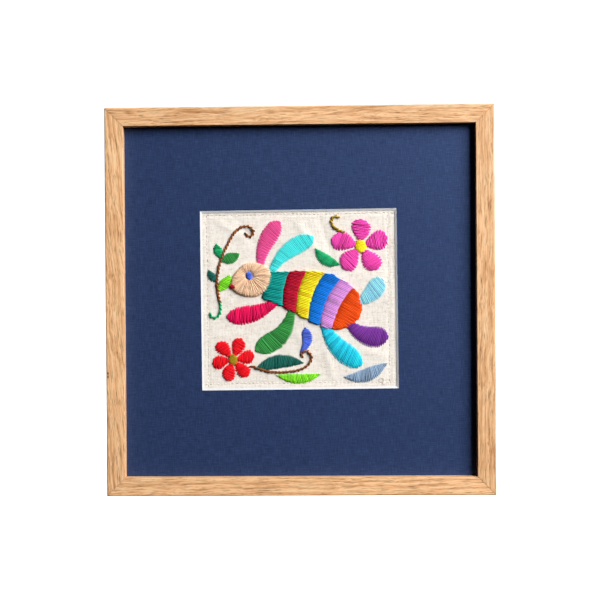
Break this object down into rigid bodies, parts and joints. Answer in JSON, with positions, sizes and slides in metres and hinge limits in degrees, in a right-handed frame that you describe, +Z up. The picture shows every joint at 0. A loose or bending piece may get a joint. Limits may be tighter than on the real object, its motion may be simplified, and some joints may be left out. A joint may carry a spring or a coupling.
{
  "type": "embroidered cloth in a wooden frame",
  "caption": "Small hemmed cream cotton cloth with bright hand embroidery, behind a navy window mat in a square light-oak box frame that stands on its edge or hangs flat on a wall.",
  "frame": {"origin": "middle of the underside of the bottom rail, which is the bottom centre of the bounding box", "axes": "+Z up, the face looks towards -Y, +X is to the right seen from the front"},
  "size_m": [0.268, 0.032, 0.268],
  "materials": {
    "oak": "light oak look, satin",
    "mat_board": "matte linen grain, white core",
    "cotton": "plain weave, matte",
    "fibreboard": "raw, matte"
  },
  "bodies": {
    "root": {"rail_bottom": "oak", "rail_right": "oak", "rail_top": "oak", "rail_left": "oak", "mat": "mat_board", "cloth": "cotton", "backing": "fibreboard"}
  },
  "joints": []
}
